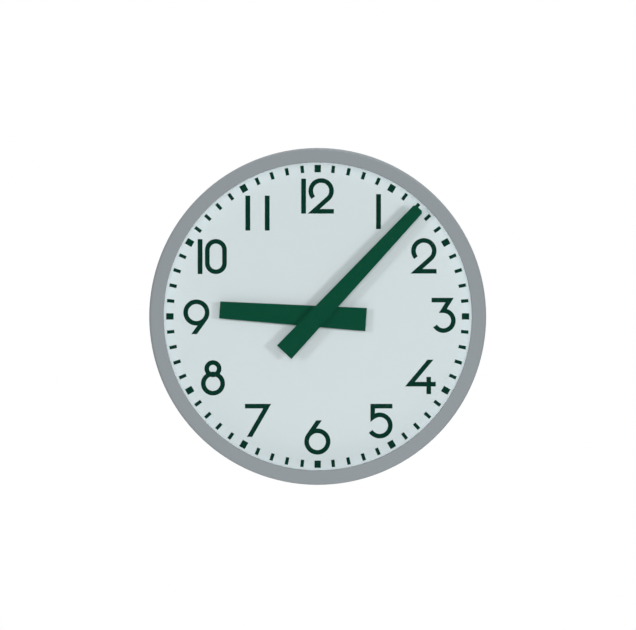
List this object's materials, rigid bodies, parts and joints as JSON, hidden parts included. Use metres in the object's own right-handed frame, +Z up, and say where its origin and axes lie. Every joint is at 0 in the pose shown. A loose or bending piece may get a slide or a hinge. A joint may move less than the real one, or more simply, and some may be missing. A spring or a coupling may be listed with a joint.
{
  "type": "slave clock",
  "caption": "Round wall slave clock with a metal bezel, pale dial, tapered hands and a polarised impulse stepping movement geared to the hands.",
  "frame": {"origin": "centre of the wall screw pattern at the wall plane, on the axis of the hands", "axes": "+Z up, -Y out of the dial towards the viewer, +X to the viewer's right"},
  "size_m": [0.33, 0.065, 0.33],
  "materials": {
    "painted_bezel": "satin paint on spun aluminium",
    "case_paint": "satin paint on spun aluminium",
    "zinc_steel": "zinc plated",
    "bright_steel": "polished",
    "soft_iron": "stacked soft iron laminations",
    "brass": "brushed",
    "bronze": "turned bronze",
    "dial_paint": "matt enamel on sheet aluminium",
    "mark_ink": "matt printing ink",
    "hand_paint": "satin paint on sheet aluminium",
    "spacer_paint": "matt painted",
    "clear_glass": "polished, clear",
    "rubber": "matt",
    "moulding": "moulded",
    "black_moulding": "moulded",
    "copper_wire": "enamelled copper wire",
    "lead_sleeve": "insulated lead",
    "magnet": "ground magnet"
  },
  "bodies": {
    "case": {"wall_bracket": "zinc_steel", "rear_plate": "case_paint", "rear_rivets": "zinc_steel", "back_case": "case_paint", "wall_bumpers": "rubber", "cable_grommet": "rubber", "dial": "dial_paint", "minute_track": "mark_ink", "dial_screws": "zinc_steel", "dial_nuts": "zinc_steel", "spacer_ring": "spacer_paint", "glass_gasket": "rubber", "glass": "clear_glass", "bezel": "painted_bezel", "bezel_screws": "zinc_steel", "bezel_nuts": "zinc_steel", "dial_posts": "brass", "post_screws": "zinc_steel", "front_plate": "zinc_steel", "back_plate": "zinc_steel", "plate_pillars": "brass", "pillar_screws": "zinc_steel", "arbor_bushes": "bronze", "left_pole_piece": "soft_iron", "right_pole_piece": "soft_iron", "pole_screws": "zinc_steel", "coil_core": "soft_iron", "core_screws": "zinc_steel", "coil_bobbin": "moulding", "coil_winding": "copper_wire", "coil_leads": "lead_sleeve", "terminal_block": "moulding", "terminal_sleeves": "brass", "terminal_screws": "zinc_steel", "block_screw": "zinc_steel", "minute_wheel_stud": "bright_steel", "stud_clip": "bright_steel"},
    "centre": {"centre_arbor": "bright_steel", "centre_wheel": "brass", "cannon_pinion": "bright_steel", "minute_hand_boss": "brass", "minute_hand": "hand_paint", "setting_knob": "black_moulding"},
    "hour": {"hour_wheel": "brass", "hour_hand_boss": "brass", "hour_hand": "hand_paint"},
    "motion": {"minute_wheel": "brass", "minute_wheel_pinion": "bright_steel"},
    "intermediate": {"intermediate_arbor": "bright_steel", "intermediate_wheel": "brass"},
    "rotor": {"rotor_arbor": "bright_steel", "rotor_magnet": "magnet"}
  },
  "joints": [
    {"name": "centre_turn", "type": "hinge", "parent": "case", "child": "centre", "pos_m": [0, 0, 0], "axis": [0, 1, 0], "continuous": true},
    {"name": "hour_turn", "type": "hinge", "parent": "case", "child": "hour", "pos_m": [0, 0, 0], "axis": [0, 1, 0], "continuous": true},
    {"name": "motion_turn", "type": "hinge", "parent": "case", "child": "motion", "pos_m": [0, 0, 0.016], "axis": [0, 1, 0], "continuous": true},
    {"name": "intermediate_turn", "type": "hinge", "parent": "case", "child": "intermediate", "pos_m": [-0.00761, 0, -0.01631], "axis": [0, 1, 0], "continuous": true},
    {"name": "rotor_turn", "type": "hinge", "parent": "case", "child": "rotor", "pos_m": [0, 0, -0.03129], "axis": [0, 1, 0], "continuous": true}
  ],
  "couplings": [
    {"joint": "hour_turn", "follows": "centre_turn", "ratio": 0.083333},
    {"joint": "motion_turn", "follows": "centre_turn", "ratio": -0.33333},
    {"joint": "intermediate_turn", "follows": "centre_turn", "ratio": -5},
    {"joint": "rotor_turn", "follows": "centre_turn", "ratio": 30}
  ]
}
